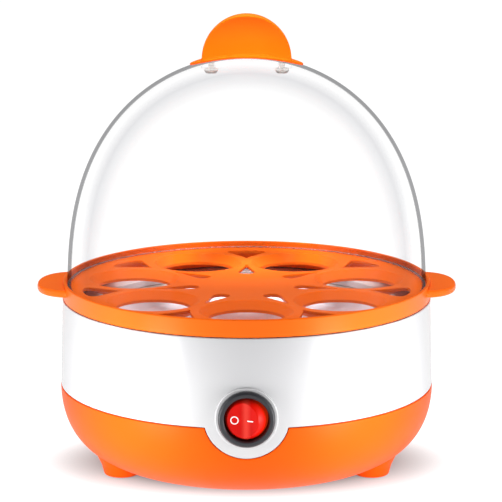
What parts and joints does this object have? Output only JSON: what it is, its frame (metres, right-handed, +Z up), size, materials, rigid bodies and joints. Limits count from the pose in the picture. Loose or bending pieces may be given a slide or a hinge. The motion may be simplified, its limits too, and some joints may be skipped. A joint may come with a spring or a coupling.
{
  "type": "egg cooker",
  "caption": "Round electric steam cooker for eggs: orange and white base with a rocker switch, lift-out egg tray with ears, and a clear dome lid with a half-moon grip.",
  "frame": {"origin": "on the surface it stands on, at the centre of its footprint under the dome's axis", "axes": "+Z up along the dome's axis, -Y towards the front with the switch, +X to the viewer's right, through the tray's ears"},
  "size_m": [0.18, 0.1718, 0.1954],
  "materials": {
    "orange_plastic": "glossy moulded orange polypropylene",
    "tray_plastic": "satin moulded orange polypropylene, lighter than the bowl",
    "white_plastic": "glossy moulded white plastic",
    "clear_plastic": "clear moulded plastic dome",
    "black_plastic": "black moulded plastic",
    "red_plastic": "translucent red rocker, lit from inside",
    "lamp_glass": "small glass lamp",
    "steel": "stainless and zinc-plated steel",
    "dark_steel": "steel sheath, darkened by heat",
    "brass": "plain brass",
    "rubber": "black rubber",
    "silicone": "translucent off-white silicone",
    "white_nylon": "natural white nylon",
    "wire_brown": "brown wire insulation",
    "wire_blue": "blue wire insulation"
  },
  "bodies": {
    "base": {"base_shell": "orange_plastic", "body_band": "white_plastic", "heating_plate": "steel", "plate_seal": "silicone", "heating_element": "dark_steel", "element_bracket": "steel", "bracket_nut": "brass", "thermostat": "black_plastic", "thermostat_clip": "steel", "thermal_fuse": "silicone", "fuse_clip": "steel", "switch_housing": "black_plastic", "switch_lamp": "lamp_glass", "cord_gland": "rubber", "cord_clamp": "black_plastic", "foot_pad_1": "rubber", "foot_pad_2": "rubber", "foot_pad_3": "rubber", "foot_pad_4": "rubber", "base_screw_1": "steel", "base_screw_2": "steel", "base_screw_3": "steel", "base_screw_4": "steel", "plate_screw_1": "steel", "plate_screw_2": "steel", "plate_screw_3": "steel", "clamp_screw_1": "steel", "clamp_screw_2": "steel", "switch_terminal_1": "brass", "switch_terminal_2": "brass", "switch_terminal_3": "brass", "lead_line": "wire_brown", "lead_switched": "wire_brown", "lead_neutral": "wire_blue", "lead_lamp": "wire_blue"},
    "rocker": {"switch_rocker": "red_plastic"},
    "tray": {"egg_tray": "tray_plastic"},
    "lid": {"lid_dome": "clear_plastic", "lid_handle": "orange_plastic", "lid_screw_1": "white_nylon", "lid_screw_2": "white_nylon"}
  },
  "joints": [
    {"name": "rocker_press", "type": "hinge", "parent": "base", "child": "rocker", "pos_m": [0, -0.0785, 0.0413], "axis": [0, 0, 1], "range_deg": [0, 30]},
    {"name": "tray_lift", "type": "slide", "parent": "base", "child": "tray", "axis": [0, 0, 1], "range_m": [0, 0.06]},
    {"name": "lid_lift", "type": "slide", "parent": "tray", "child": "lid", "axis": [0, 0, 1], "range_m": [0, 0.12]}
  ]
}
